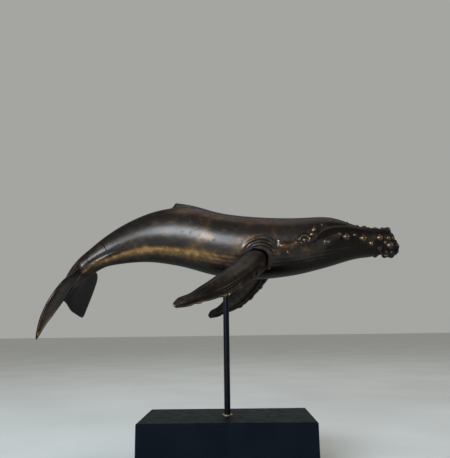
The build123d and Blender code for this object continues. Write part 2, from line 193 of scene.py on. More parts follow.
# Wear round a lobe's section, from 1 at the leading edge to -1 at the trailing one. Under the
# near lobe, which starts at these angles of the span, a painted highlight line runs along a grimy
# rim.
NEAR_SPANS = (-8.0, -25.0)
UNDERSIDE = (0.02, 0.14)
NEAR_PAINTED_HIGHLIGHT_LINE = [(1.2, -0.72, 0.12)]
REAR_GRIME, REAR_GRIME_EDGE = 0.9, (0.86, 0.94)
MIDDLE_WEAR, MIDDLE_EDGE = 0.16, (-0.6, -0.4)
TOP_GRIME = 0.25
# The far lobe has brown rims on a skin darkened as painted shade, more on its underside, and the
# leading edge is the same on both
FAR_FRONT_WEAR, FAR_FRONT_EDGE = 0.15, (0.93, 0.99)
FAR_REAR_WEAR, FAR_REAR_EDGE = 0.1, (0.95, 0.99)
FAR_LOBE_PAINTED_SHADE, FAR_UNDER_PAINTED_SHADE = 0.5, 0.3
LEADING_GRIME, LEADING_EDGE = 0.15, (0.78, 0.90)
# Painted light over the crease where stock and lobes meet, lifting its shade, and its width in
# millimetres
CREASE_PAINTED_LIGHT, CREASE_PAINTED_LIGHT_WIDTH = 0.25, 2.4

# The tail's stock and lobes are grown together by a remesh, which is then smoothed
STOCK_RINGS = 110
STOCK_SPARE = 4.0
VOXEL = 0.5
SMOOTH_ROUNDS = 120
SMOOTH_SHARE = 0.15
FILLET_REACH = 6.0
# Near the cut the tail keeps to the stock's own skin, and eases off it further back
CUT_HOLD = 8.0
CUT_EASE = 6.0

# Marks on both sides of the whale. Here and for knobs, chin and pits, z is from the table.
MOUTH = [
    (84.4, 191.2), (86.2, 194.0), (89.0, 196.8), (93.0, 199.5), (98.0, 201.3), (104.0, 202.0),
    (111.0, 202.2), (118.0, 202.0), (126.0, 201.6), (134.0, 201.2), (142.0, 200.5),
    (150.0, 199.3), (158.0, 197.8),
]
LEDGE = [
    (90.6, 187.4), (94.2, 190.2), (98.0, 192.8), (101.6, 194.4), (105.6, 194.9), (109.4, 193.8),
]
JAW_EDGE = [
    (92.0, 184.4), (97.0, 185.2), (105.0, 186.8), (116.0, 187.8), (124.0, 186.4),
    (131.0, 185.0),
]
UNDER_EYE = [(69.0, 189.8), (74.0, 189.6), (77.4, 190.8), (80.6, 192.0), (84.4, 193.9)]
BEHIND_EYE = [(50.0, 186.0), (56.0, 186.9), (61.0, 187.2), (65.6, 188.2), (69.2, 191.2)]
LID = [
    (69.6, 191.0), (70.4, 193.2), (72.2, 195.0), (74.4, 195.5), (76.6, 194.9), (78.4, 193.4),
    (80.0, 192.2),
]
FOLDS = [
    [
        (19.4, 182.6), (20.6, 186.6), (24.4, 190.6), (31.6, 194.0), (39.6, 194.6),
        (46.0, 191.8), (50.6, 187.4),
    ],
    [
        (22.0, 184.0), (25.0, 187.9), (31.0, 191.0), (39.2, 191.4), (45.0, 188.6),
        (49.4, 183.8), (51.0, 179.6),
    ],
    [
        (24.2, 184.8), (28.4, 187.8), (34.6, 189.2), (40.0, 188.0), (45.0, 184.4),
        (47.4, 180.0), (47.6, 175.0),
    ],
]
TAIL_RIDGE = [
    (-96.0, 190.6), (-105.0, 188.6), (-117.0, 184.4), (-128.6, 178.6), (-135.6, 173.8),
    (-146.0, 164.6), (-152.0, 157.6),
]
# What is drawn along the marks: the line, its reach, the shares of its length by which it has
# faded in and from which it fades out, and its hills in the skin and in the wear. A hill has
# its height, its place to the line's left and its width.
DRAWN = [
    (LEDGE, 9.0, 0.25, 0.7,
     [(3.0, -1.2, 3.6), (-0.5, 4.8, 1.3)], [(0.5, 0.0, 2.4), (-0.4, 4.4, 1.3)]),
    (JAW_EDGE, 8.0, 0.2, 0.8,
     [(0.6, 2.0, 1.6), (-1.0, 0.0, 0.9)], [(-0.7, 0.0, 1.1)]),
    (UNDER_EYE, 7.0, 0.2, 0.9,
     [(1.3, 0.0, 1.2), (-0.78, -2.4, 1.2)], [(0.3, 0.0, 0.96), (-0.5, -2.4, 1.2)]),
    (BEHIND_EYE, 7.0, 0.2, 0.9,
     [(1.8, 0.0, 2.8), (-1.08, -5.6, 2.8)], [(0.3, 0.0, 2.24), (-0.5, -5.6, 2.8)]),
    (LID, 6.0, 0.1, 0.9,
     [(1.6, 0.0, 1.15), (-0.7, 2.4, 1.0)], [(0.8, 0.0, 1.1), (-0.5, 2.4, 0.9)]),
    *[(fold, 6.0, 0.25, 0.7,
       [(1.15, 0.0, 0.85), (-1.0, -1.6, 0.75)], [(0.4, 0.0, 0.7), (-1.0, -1.6, 0.8)])
      for fold in FOLDS],
    (TAIL_RIDGE, 14.0, 0.5, None,
     [(1.2, 0.0, 1.5), (-1.1, -4.2, 2.8)], [(0.5, 0.0, 1.0), (-0.6, -3.6, 2.4)]),
]
LINE_SAMPLES = 160
# What isn't near counts as this far off
FAR = 1e3
# Within this half width the eye and the pits count as this gap further off, and the mouth
# fades in over the next half widths
MIDDLE_WIDTH, MIDDLE_GAP = 8, 50
SIDE_FADE = (3.0, 8.0)
# The mouth's reach, how it starts, and where it gets finer towards the front
MOUTH_REACH = 12.0
MOUTH_START = (0.0, 0.04)
MOUTH_FINER = (118.0, 150.0)
# Its crease, rim and lip: size, place to the line's left and width, and what they lose in front
CREASE_DEPTH, CREASE_PLACE, CREASE_WIDTH = 3.0, -0.6, 1.15
CREASE_DEPTH_LOSS, CREASE_WIDTH_LOSS = 1.4, 0.35
RIM_HEIGHT, RIM_PLACE, RIM_WIDTH, RIM_LOSS = 1.25, 1.3, 1.0, 0.4
LIP_DEPTH, LIP_LOSS, LIP_TOP, LIP_FOOT = 1.0, 0.45, (0.0, 1.6), (-10.0, -3.0)
MOUTH_BRIGHT, BRIGHT_LOSS = [(0.75, 1.4, 0.8)], 0.6
MOUTH_DARK = [(1.2, -0.7, 1.3)]
# The eye: place, radius, how far it stands out, and the hills round it in skin and wear
EYE = (74.4, 192.2)
EYE_RADIUS = 1.7
EYE_RISE = 1.9
EYE_SKIN = [(-1.2, 0.0, 2.6)]
EYE_WEAR = [(0.7, 0.0, 0.9), (-0.8, 2.2, 0.8)]
# The throat pleats, by the angle from the belly: period, depth, extra depth on the chest,
# how narrow they are, their grime, their outermost angle and where they start and end
PLEAT_PERIOD = 0.14
PLEAT_DEPTH, PLEAT_CHEST_DEPTH, PLEAT_CHEST = 0.45, 0.3, (20.0, 60.0)
PLEAT_SHARPNESS = 3
PLEAT_GRIME = 0.5
PLEAT_SIDE, PLEAT_REAR, PLEAT_FRONT = (1.30, 1.12), (-28.0, 14.0), (149.0, 132.0)

# Wear of the flanks by degrees round from the back. The golden band: its angle, how it moves
# along the whale, its two hills, and where it ends.
GOLD_ANGLE = 121.0
GOLD_HIGHER, GOLD_HIGHER_X = 4.0, (-60.0, 20.0)
GOLD_LOWER, GOLD_LOWER_X = 9.0, (-80.0, -130.0)
GOLD_HILLS = [(0.62, 0.0, 6.5), (0.5, 10.0, 11.0)]
GOLD_FRONT, GOLD_REAR = (40.0, -50.0), (-150.0, -105.0)
CHEEK_WEAR, CHEEK_ANGLE, CHEEK_X = 0.6, (105.0, 11.0), (64.0, 17.0)
JAW_WEAR, JAW_ANGLE, JAW_REAR, JAW_FRONT = 0.12, (124.0, 10.0), (50.0, 78.0), (140.0, 108.0)
# Painted shade on the belly, which starts higher on the chest and thins towards the tail, and
# grime of the back, the head and the neck
BELLY_PAINTED_SHADE, BELLY_SHADE_ANGLE, BELLY_SHADE_SPREAD = 0.6, 132.0, 24.0
CHEST_SHADE_HIGHER, CHEST_SHADE_X = 18.0, (30.0, 60.0)
TAIL_LESS_SHADE, TAIL_LESS_SHADE_X = 0.5, (-90.0, -130.0)
BACK_GRIME, BACK_ANGLES = 0.25, (40.0, 10.0)
HEAD_GRIME, HEAD_X = 0.4, (78.0, 112.0)
NECK_GRIME, NECK_X = 0.15, (40.0, 70.0)

# Knobs: x, z and radius
SIDE_KNOBS = [
    (111.6, 194.6, 4.4), (126.6, 193.4, 4.2), (141.6, 193.8, 3.9), (133.2, 188.4, 2.6),
    (141.2, 183.6, 3.8), (147.0, 180.4, 3.0), (150.4, 187.0, 4.4), (146.4, 189.4, 2.2),
    (149.6, 193.6, 2.8), (105.0, 196.6, 2.6), (119.2, 196.2, 1.8), (83.2, 201.4, 2.4),
    (81.0, 197.2, 2.1), (98.2, 209.3, 2.2), (90.5, 206.4, 1.5), (113.5, 209.2, 1.8),
    (51.7, 191.6, 1.3), (59.0, 181.6, 1.1), (41.8, 168.4, 1.6),
]
# Knobs near the middle: x, y, z, radius
FREE_KNOBS = [
    (129.6, 8.0, 206.2, 2.7), (138.8, 7.0, 205.4, 2.6), (145.6, 6.0, 205.4, 2.7),
    (150.8, 4.4, 204.0, 3.0), (124.0, 3.2, 208.4, 1.8), (134.4, 0.0, 207.4, 2.3),
    (142.0, 0.0, 206.8, 2.4), (149.0, 0.0, 205.8, 2.5), (116.0, 0.0, 211.6, 1.7),
    (107.5, 0.0, 215.2, 1.5), (99.0, 0.0, 218.6, 1.4), (154.0, 6.0, 193.8, 3.1),
    (156.4, 1.8, 191.6, 2.6), (156.6, 5.8, 187.0, 3.4), (156.6, 3.4, 182.0, 3.0),
    (152.6, 7.4, 180.0, 3.0), (146.6, 5.0, 178.8, 2.6), (139.6, 5.6, 178.6, 2.5),
    (152.6, 0.0, 179.2, 2.5),
]
# In shares of a knob's radius: how deep it is sunk, how far it reaches, and the heights of its
# bright top and grimy foot
SIDE_KNOB_SINK = 0.58
FREE_KNOB_SINK = 0.35
KNOB_REACH = 2.5
KNOB_TOP = (0.06, 0.26)
KNOB_FOOT, KNOB_FOOT_WIDTH, KNOB_FOOT_GRIME = 0.02, 0.06, 0.8
CHIN = (150.2, 0.0, 186.4)
CHIN_RADII = (8.2, 10.6, 8.6)
CHIN_START = 138.0
# Casting pits: x, z, radius and depth
PITS = [
    (-6.5, 194.0, 0.9, 0.9), (-28.5, 202.4, 0.6, 0.5), (-33.0, 200.0, 0.5, 0.4),
    (-24.0, 204.4, 0.5, 0.4), (-36.5, 203.6, 0.5, 0.4), (-20.5, 199.2, 0.4, 0.3),
    (-101.0, 196.0, 0.7, 0.5), (-97.0, 193.6, 0.5, 0.4), (12.0, 206.4, 0.5, 0.4),
    (61.0, 204.0, 0.5, 0.4), (-71.0, 213.0, 0.5, 0.4),
]
PIT_GRIME, PIT_GRIME_SPREAD = 1.4, 1.2

# The dorsal fin: where its front slope starts and how long it is, where its steep rear is, its
# height, how it leans back and widens to the front, its worn rim, and the lowest z it has
FIN_FRONT = 2.0
FIN_SLOPE_LENGTH = 49.5
FIN_FRONT_POWER = 1.8
FIN_REAR = (-54.0, -46.5)
FIN_HEIGHT = 5.75
FIN_LEAN, FIN_LEAN_HEIGHTS = 0.15, (1.0, 5.0)
FIN_WIDTH, FIN_WIDER, FIN_WIDER_X = 4.2, 5.0, (-46.0, -14.0)
FIN_WEAR, FIN_WEAR_HEIGHTS = 0.3, (4.2, 5.6)
FIN_FLOOR = 40.0

# The felt: points along and across, its edge drawn in, its gap to the block and its swell
FELT_COLUMNS = 74
FELT_LINES = 38
FELT_EDGE = 0.00025
FELT_GAP = 0.00002
FELT_SWELL = 1.001

# Faces with more corners than this are cut ends and stay flat
MOST_SMOOTH_CORNERS = 11
# Sockets of a colour mix node: its two colours and its result
MIX_FIRST, MIX_SECOND, MIX_RESULT = 6, 7, 2

# Colours, in pairs where a pattern mixes two. The patina mixes its pair and a warmer brown.
PATINA = (0.028, 0.0225, 0.0195), (0.044, 0.033, 0.026)
WARM_PATINA = (0.060, 0.040, 0.026)
# Rubbed brown, golden and grime also serve as painted light and painted shade
RUBBED_BROWN_AND_PAINTED_LIGHT = (0.120, 0.066, 0.029)
GOLDEN_AND_HIGHLIGHT = (0.27, 0.145, 0.052), (0.44, 0.265, 0.108)
GRIME_AND_PAINTED_SHADE = (0.0090, 0.0060, 0.0034)
BRONZE_TINT = (0.25, 0.21, 0.18, 1)
LACQUER = (0.0014, 0.0028, 0.0052), (0.0026, 0.0048, 0.0082)
ROD_BLACK = (0.0012, 0.0018, 0.0032), (0.0022, 0.0031, 0.0052)
FELT_BLACK = (0.012, 0.013, 0.014), (0.03, 0.031, 0.033)
FLOOR_PALE = (0.61, 0.61, 0.59), (0.67, 0.67, 0.65)
BRASS = (0.50, 0.40, 0.24)
ZINC = (0.55, 0.56, 0.58)
DULL_SHARE = 0.7
BACKGROUND = (0.375, 0.38, 0.362, 1)
FLOOR_SIZE = 14.0
# The camera: place in metres, yaw, pitch and roll in degrees, and the focal length as a share
# of the picture's longer side
CAMERA_PLACE = (0.00948, -0.47127, 0.11318)
CAMERA_ANGLES = (-1.153, 11.597, -0.764)
CAMERA_FOCAL = 500.0 / 458.0
SENSOR_WIDTH = 36.0
CLIP_START = 0.01
# Lights: name, place, target, width, height, power, colour and spread in degrees
LIGHTS = [
    ("key", (-0.66, -1.10, 0.54), (-0.05, 0, 0.19), 1.0, 0.5, 7.0, (0.70, 0.86, 1.0), 90.0),
    ("side", (1.0, -0.7, 0.62), (0.1, 0, 0.18), 0.3, 0.3, 1.6, (1.0, 0.98, 0.95), 180.0),
    ("top", (0.15, 0.5, 1.6), (0, 0, 0.1), 1.2, 1.2, 5.0, (1, 1, 1), 180.0),
]


def cubic(knots, values, at):
    """Natural cubic spline through rows of values."""
    count = len(knots)
    gap = np.diff(knots)
    system = np.eye(count)
    right = np.zeros((count, values.shape[1]))
    slopes = np.diff(values, axis=0) / gap[:, None]
    for i in range(1, count - 1):
        system[i, i - 1:i + 2] = gap[i - 1], 2 * (gap[i - 1] + gap[i]), gap[i]
        right[i] = 6 * (slopes[i] - slopes[i - 1])
    bend = np.linalg.solve(system, right)
    at = np.asarray(at, float)
    k = np.clip(np.searchsorted(knots, at) - 1, 0, count - 2)
    b = ((at - knots[k]) / gap[k])[..., None]
    a = 1 - b
    wide = (gap[k] ** 2)[..., None]
    return (a * values[k] + b * values[k + 1]
            + ((a ** 3 - a) * bend[k] + (b ** 3 - b) * bend[k + 1]) * wide / 6)


def power(value, exponent):
    return np.sign(value) * np.abs(value) ** exponent


def unit(vectors):
    return vectors / np.maximum(np.linalg.norm(vectors, axis=-1, keepdims=True), 1e-9)


def lengths_along(points):
    """How far along a line of points each one is."""
    steps = np.linalg.norm(np.diff(points, axis=0), axis=1)
    return np.concatenate([[0], np.cumsum(steps)])


def bump(distance, width):
    """A smooth hill of height 1."""
    return np.exp(-(distance / width) ** 2)


def hills(offset, table):
    """The sum of smooth hills, each with its height, place and width."""
    return sum(height * bump(offset - place, width) for height, place, width in table)


def ramp(value, low, high):
    """0 at low, 1 at high, smooth between and level beyond."""
    t = np.clip((value - low) / (high - low), 0, 1)
    return t * t * (3 - 2 * t)


rows = STATIONS.copy()
rows[:, :6] *= LENGTH
knots = lengths_along((rows[:, :2] + rows[:, 2:4]) / 2)


def body_points(along, angle):
    """Places on the plain skin: how far along from the notch, and angle round from the back."""
    columns = np.moveaxis(cubic(knots, rows, along), -1, 0)
    back_x, back_z, belly_x, belly_z, half, side, full = columns
    wide = power(np.sin(angle), 2 / full) * half
    rise = power(np.cos(angle), 2 / full) / 2
    x = (back_x + belly_x) / 2 + (back_x - belly_x) * rise
    z = (back_z + belly_z) / 2 + (back_z - belly_z) * rise
    return np.stack([x, side + wide, z], -1)


def outward_normals(points, probe):
    """Normals of a grid whose second index goes round, faced by the back of the probe ring."""
    wrapped = np.concatenate([points[:, -1:], points, points[:, :1]], 1)
    across = (wrapped[:, 2:] - wrapped[:, :-2]) / 2
    normals = unit(np.cross(across, np.gradient(points, axis=0)))
    return -normals if normals[probe, 0, 2] < 0 else normals


def linked(name, mesh):
    """A new object of the scene with this mesh."""
    thing = bpy.data.objects.new(name, mesh)
    bpy.context.scene.collection.objects.link(thing)
    return thing


def fix_normals(thing):
    shape = bmesh.new()
    shape.from_mesh(thing.data)
    bmesh.ops.recalc_face_normals(shape, faces=shape.faces)
    shape.to_mesh(thing.data)
    shape.free()


def tube(name, rings):
    """A closed skin over rings of points in millimetres, with a flat face at each end."""
    count, around = rings.shape[:2]
    faces = []
    for i in range(count - 1):
        for j in range(around):
            k = (j + 1) % around
            faces.append((i * around + j, i * around + k,
                          (i + 1) * around + k, (i + 1) * around + j))
    faces.append(tuple(range(around))[::-1])
    faces.append(tuple((count - 1) * around + j for j in range(around)))
    mesh = bpy.data.meshes.new(name)
    mesh.from_pydata([tuple(point) for point in rings.reshape(-1, 3) * MM], [], faces)
    mesh.update()
    thing = linked(name, mesh)
    fix_normals(thing)
    return thing


def rounded_end(ring, reach, count):
    """Rings that close a tube like a dome, out past its last ring."""
    middle = ring.mean(0)
    turns = [math.pi / 2 * k / (count + 0.5) for k in range(1, count + 1)]
    return [middle + (ring - middle) * math.cos(turn) + reach * math.sin(turn) for turn in turns]


def place_whale(thing):
    """From the whale's frame to the object's, with the turn about the rod."""
    turn = Matrix.Rotation(HEADING, 4, "Z")
    thing.data.transform(Matrix.Translation((0, 0, BELLY_HEIGHT * MM)) @ turn)


def set_worn(thing, worn):
    """Keeps how worn each place is, from -1 for grime and painted shade to 1 for bright metal and
    painted highlights.
    """
    layer = thing.data.attributes.new("worn", "FLOAT", "POINT")
    layer.data.foreach_set("value", np.clip(worn, -1, 1).astype(np.float32).ravel())


def shade_smooth(thing):
    for polygon in thing.data.polygons:
        polygon.use_smooth = len(polygon.vertices) <= MOST_SMOOTH_CORNERS


def line_offsets(points, x, z, reach):
    """For each place: how far along the line it is, as a share, and how far to its left."""
    points = np.array(points, float)
    along = lengths_along(points)
    samples = cubic(along, points, np.linspace(0, along[-1], LINE_SAMPLES))
    low = samples.min(0) - reach
    high = samples.max(0) + reach
    near = (x > low[0]) & (x < high[0]) & (z > low[1]) & (z < high[1])
    share = np.zeros_like(x)
    left = np.full_like(x, FAR)
    places = np.stack([x[near], z[near]], -1)
    if not len(places):
        return share, left
    gaps = np.linalg.norm(places[:, None] - samples[None], axis=2)
    best = gaps.argmin(1)
    tangent = unit(np.gradient(samples, axis=0))[best]
    offset = places - samples[best]
    sign = tangent[:, 0] * offset[:, 1] - tangent[:, 1] * offset[:, 0]
    share[near] = best / (len(samples) - 1)
    left[near] = np.where(sign >= 0, 1, -1) * gaps[np.arange(len(best)), best]
    return share, left


def mouth_marks(x, y, z):
    """The mouth: a grimy crease, a bright rim over it and a lip under it, finer in front."""
    share, left = line_offsets(MOUTH, x, z, MOUTH_REACH)
    front = ramp(x, *MOUTH_FINER)
    starts = ramp(share, *MOUTH_START)
    crease_width = CREASE_WIDTH - CREASE_WIDTH_LOSS * front
    crease = bump(left - CREASE_PLACE, crease_width) * (CREASE_DEPTH - CREASE_DEPTH_LOSS * front)
    rim = (RIM_HEIGHT - RIM_LOSS * front) * bump(left - RIM_PLACE, RIM_WIDTH)
    lip = (LIP_DEPTH - LIP_LOSS * front) * ramp(-left, *LIP_TOP) * ramp(left, *LIP_FOOT)
    near = ramp(y, *SIDE_FADE) * (np.abs(left) < MOUTH_REACH) * starts
    bright = hills(left, MOUTH_BRIGHT) * (1 - BRIGHT_LOSS * front)
    return (rim - crease - lip * (left < 0)) * near, (bright - hills(left, MOUTH_DARK)) * near


def side_gap(x, y, z, place):
    """Distance to a place on the sides. Everything near the middle counts as far from it."""
    return np.hypot(x - place[0], z - place[1]) + MIDDLE_GAP * (y < MIDDLE_WIDTH)


def eye_marks(x, y, z):
    """The eyeball in its sunken socket."""
    gap = side_gap(x, y, z, EYE)
    ball = np.sqrt(np.maximum(1 - (gap / EYE_RADIUS) ** 2, 0))
    return EYE_RISE * ball + hills(gap, EYE_SKIN), hills(gap, EYE_WEAR)


def pleat_marks(x, angle):
    """The throat's long pleats."""
    from_belly = np.where(angle > np.pi, angle - np.pi, np.pi - angle)
    reach = ramp(x, *PLEAT_REAR) * ramp(x, *PLEAT_FRONT) * ramp(from_belly, *PLEAT_SIDE)
    wave = (0.5 - 0.5 * np.cos(from_belly * 2 * np.pi / PLEAT_PERIOD)) ** PLEAT_SHARPNESS
    depth = PLEAT_DEPTH + PLEAT_CHEST_DEPTH * ramp(x, *PLEAT_CHEST)
    return -depth * wave * reach, -PLEAT_GRIME * wave * reach


def flank_wear_and_painted_shade(x, angle):
    """The golden worn band low on the flank, a rubbed cheek and jaw, and painted shade on the
    underside.
    """
    turn = np.degrees(np.where(angle > np.pi, 2 * np.pi - angle, angle))
    middle = (GOLD_ANGLE - GOLD_HIGHER * ramp(x, *GOLD_HIGHER_X)
              + GOLD_LOWER * ramp(x, *GOLD_LOWER_X))
    gold = hills(turn - middle, GOLD_HILLS) * ramp(x, *GOLD_FRONT) * ramp(x, *GOLD_REAR)
    cheek = hills(turn, [(CHEEK_WEAR, *CHEEK_ANGLE)]) * hills(x, [(1, *CHEEK_X)])
    jaw = hills(turn, [(JAW_WEAR, *JAW_ANGLE)]) * ramp(x, *JAW_REAR) * ramp(x, *JAW_FRONT)
    # Painted shade on the underside, higher on the chest and less towards the tail; grime sums it
    # with the back, head and neck grime
    low = turn - BELLY_SHADE_ANGLE + CHEST_SHADE_HIGHER * ramp(x, *CHEST_SHADE_X)
    belly = ramp(low, 0.0, BELLY_SHADE_SPREAD) * (1 - TAIL_LESS_SHADE * ramp(x, *TAIL_LESS_SHADE_X))
    grime = (BELLY_PAINTED_SHADE * belly + BACK_GRIME * ramp(turn, *BACK_ANGLES)
             + HEAD_GRIME * ramp(x, *HEAD_X) + NECK_GRIME * ramp(x, *NECK_X))
    return gold + cheek + jaw - grime


def knob_centres(points, normals):
    """Centres and radii of all knobs, each sunk a little into the skin."""
    for knob_x, knob_z, radius in SIDE_KNOBS:
        for sign in (1, -1):
            gap = ((points[..., 0] - knob_x) ** 2
                   + (points[..., 2] - (knob_z - BELLY_HEIGHT)) ** 2)
            gap = np.where(points[..., 1] * sign > 0, gap, np.inf)
            spot = np.unravel_index(gap.argmin(), gap.shape)
            yield points[spot] - normals[spot] * SIDE_KNOB_SINK * radius, radius
    for knob_x, knob_y, knob_z, radius in FREE_KNOBS:
        for sign in (1, -1) if knob_y else (1,):
            centre = np.array([knob_x, sign * knob_y, knob_z - BELLY_HEIGHT])
            gap = np.linalg.norm(points - centre, axis=-1)
            spot = np.unravel_index(gap.argmin(), gap.shape)
            outside = ((centre - points[spot]) * normals[spot]).sum()
            yield centre - normals[spot] * max(outside + FREE_KNOB_SINK * radius, 0), radius


def knob_heights(points, normals, centre, radius):
    """How far each place moves out along its normal to lie on the knob."""
    toward = centre - points
    along = (toward * normals).sum(-1)
    across2 = (toward ** 2).sum(-1) - along ** 2
    height = along + np.sqrt(np.maximum(radius ** 2 - across2, 0))
    inside = (across2 < radius ** 2) & (np.abs(along) < KNOB_REACH * radius)
    return np.where(inside, np.maximum(height, 0), 0)


def knob_wear(height, rise, radius):
    """Bright tops and grimy feet."""
    share = height / radius
    foot = bump(share - KNOB_FOOT, KNOB_FOOT_WIDTH) * (height > 0)
    return (ramp(share, *KNOB_TOP) - KNOB_FOOT_GRIME * foot) * (height > rise)


def sculpt(points, normals, angle):
    """How far the skin moves out and in at the casting's features, and how worn it is, with painted
    shade on the belly.
    """
    x, y, z = points[..., 0], np.abs(points[..., 1]), points[..., 2] + BELLY_HEIGHT
    rise, worn = mouth_marks(x, y, z)
    for line, reach, start, end, skin_hills, wear_hills in DRAWN:
        share, left = line_offsets(line, x, z, reach)
        ends = ramp(share, 0.0, start) * (ramp(share, 1.0, end) if end else 1)
        rise += hills(left, skin_hills) * ends
        worn += hills(left, wear_hills) * ends
    for marks_rise, marks_worn in (eye_marks(x, y, z), pleat_marks(x, angle)):
        rise += marks_rise
        worn += marks_worn
    for pit_x, pit_z, radius, depth in PITS:
        gap = side_gap(x, y, z, (pit_x, pit_z))
        rise -= depth * bump(gap, radius)
        worn -= PIT_GRIME * bump(gap, PIT_GRIME_SPREAD * radius)
    worn += flank_wear_and_painted_shade(x, angle)
    for centre, radius in knob_centres(points, normals):
        height = knob_heights(points, normals, centre, radius)
        worn += knob_wear(height, rise, radius)
        rise = np.maximum(rise, height)
    return rise, np.clip(worn, -1, 1)


def fin_shift(points):
    """The dorsal fin, a low hump in front and steep behind."""
    x, y, z = points[..., 0], points[..., 1], points[..., 2]
    front = np.clip((FIN_FRONT - x) / FIN_SLOPE_LENGTH, 0, 1) ** FIN_FRONT_POWER
    width = FIN_WIDTH + FIN_WIDER * ramp(x, *FIN_WIDER_X)
    height = FIN_HEIGHT * front * ramp(x, *FIN_REAR) * bump(y, width) * (z > FIN_FLOOR)
    shift = np.zeros_like(points)
    shift[..., 2] = height
    shift[..., 0] = -FIN_LEAN * height * ramp(height, *FIN_LEAN_HEIGHTS)
    return shift


def chin_swell(points):
    """Pushes the front of the lower jaw out to the chin's egg shape."""
    radii = np.array(CHIN_RADII)
    place = (points - np.array([CHIN[0], CHIN[1], CHIN[2] - BELLY_HEIGHT])) / radii
    push = np.maximum(1 - np.linalg.norm(place, axis=-1), 0)[..., None]
    return np.where((points[..., 0] > CHIN_START)[..., None], unit(place) * radii * push, 0)


def whale_body():
    start, end = knots[CUT_STATION], knots[-1]
    head = start + HEAD_START
    along = np.concatenate([
        np.linspace(start, head, int((head - start) / RING_STEP), endpoint=False),
        np.linspace(head, end, int((end - head) / HEAD_RING_STEP)),
    ])
    angle = np.linspace(0, 2 * np.pi, AROUND, endpoint=False)
    angle = angle + CROWDING * np.sin(2 * angle)
    grid_along, grid_angle = np.meshgrid(along, angle, indexing="ij")
    points = body_points(grid_along, grid_angle)
    nose = rounded_end(points[-1], np.array([NOSE_REACH, 0, 0]), NOSE_RINGS)
    points = np.concatenate([points, nose])
    grid_angle = np.concatenate([grid_angle, np.repeat(angle[None], NOSE_RINGS, 0)])
    points = points + chin_swell(points)
    normals = outward_normals(points, BODY_PROBE)
    rise, worn = sculpt(points, normals, grid_angle)
    shift = fin_shift(points)
    body = tube("whale_casting", points + normals * rise[..., None] + shift)
    set_worn(body, worn + FIN_WEAR * ramp(shift[..., 2], *FIN_WEAR_HEIGHTS))
    return body


def lens(count):
    """Places round a fin's section from the leading edge: chord share and rise share."""
    angle = np.linspace(0, 2 * np.pi, count, endpoint=False)
    fatness = 1 + np.cos(angle) / 3
    return np.cos(angle), np.sin(angle) / 2 * fatness


def flipper_rings():
    """Rings of the left flipper's skin, and how worn they are, with a painted highlight on the
    front rim.
    """
    span = unit(np.array(FLIPPER_SPAN))
    chord = np.array(FLIPPER_CHORD)
    chord = unit(chord - span * (chord @ span))
    bow_axis = np.cross(span, chord)
    shoulder = np.array(SHOULDER) * LENGTH
    table = cubic(FLIPPER[:, 0], FLIPPER[:, 1:], FLIPPER_OUTS)
    cosine, sine = lens(FLIPPER_AROUND)
    edge = ramp(cosine, *LOBED_EDGE)
    # The front rim's wear also carries a painted highlight
    rim = FRONT_RIM_WEAR_AND_HIGHLIGHT * ramp(cosine, *FRONT_RIM) + REAR_RIM_WEAR * ramp(-cosine, *REAR_RIM)
    rings = []
    wear = []
    for out, (lead, trail, bow, thick) in zip(FLIPPER_OUTS, table):
        lobed = ramp(out, *LOBED_ROOT) * ramp(out, *LOBED_TIP)
        place = out + DRIFT * math.sin(out * DRIFT_WAVES)
        uneven = EVEN + UNEVEN * math.sin(out * UNEVEN_WAVES + 1.0)
        turn = (place - LOBE_START) * 2 * math.pi / LOBE_PERIOD
        wave = (0.5 + 0.5 * math.cos(turn)) * lobed * uneven
        width = ((lead + trail) / 2 + (lead - trail) / 2 * cosine
                 + edge * (LOBE_HEIGHT * wave - LOBE_SINK * lobed))
        rise = sine * thick * (1 + LOBE_FATNESS * wave * ramp(cosine, *FAT_EDGE))
        rise = rise - np.sign(sine) * hills(cosine, FLIPPER_RELIEF) * lobed
        rings.append(shoulder + span * out * FLIPPER_LENGTH
                     + chord * (width[:, None] * FLIPPER_LENGTH)
                     + bow_axis * ((rise - bow)[:, None] * FLIPPER_LENGTH))
        outer = 0.5 + 0.5 * ramp(out, *OUTER_PART)
        grime = hills(cosine, GROOVE_GRIME) * lobed
        hidden = ROOT_GRIME * (1 - ramp(out, *ROOT_END))
        wear.append(rim * lobed * outer * (0.6 + 0.4 * wave) - grime - hidden - FLIPPER_GRIME)
    for ring in rounded_end(rings[-1], span * FLIPPER_TIP_REACH, FLIPPER_TIP_RINGS):
        rings.append(ring)
        wear.append(wear[-1] * 0.9 + 0.05)
    return np.array(rings), np.array(wear)


def flipper_object(name, mirror, lift, rubbed):
    """One flipper, lifted a little about its shoulder, as the two aren't quite alike."""
    rings, wear = flipper_rings()
    shoulder = np.array(SHOULDER) * LENGTH
    turn = Matrix.Rotation(math.radians(lift), 3, "X")
    rings = (rings - shoulder) @ np.array(turn).T * FLIPPER_SQUEEZE + shoulder
    if mirror:
        rings[..., 1] *= -1
    thing = tube(name, rings)
    set_worn(thing, np.where(wear > 0, rubbed * wear, wear))
    return thing


def fluke_place(along, across, above):
    """A place on the flukes' bent plane: along the tail, across it and above it."""
    angle = FLUKE_SLOPE + along / FLUKE_BEND
    x = FLUKE_BEND * (math.sin(FLUKE_SLOPE) - np.sin(angle)) - above * np.sin(angle)
    z = FLUKE_BEND * (np.cos(angle) - math.cos(FLUKE_SLOPE)) + above * np.cos(angle)
    return np.stack([x, across + 0 * x, z], -1) + np.array(FLUKE_NOTCH) * LENGTH


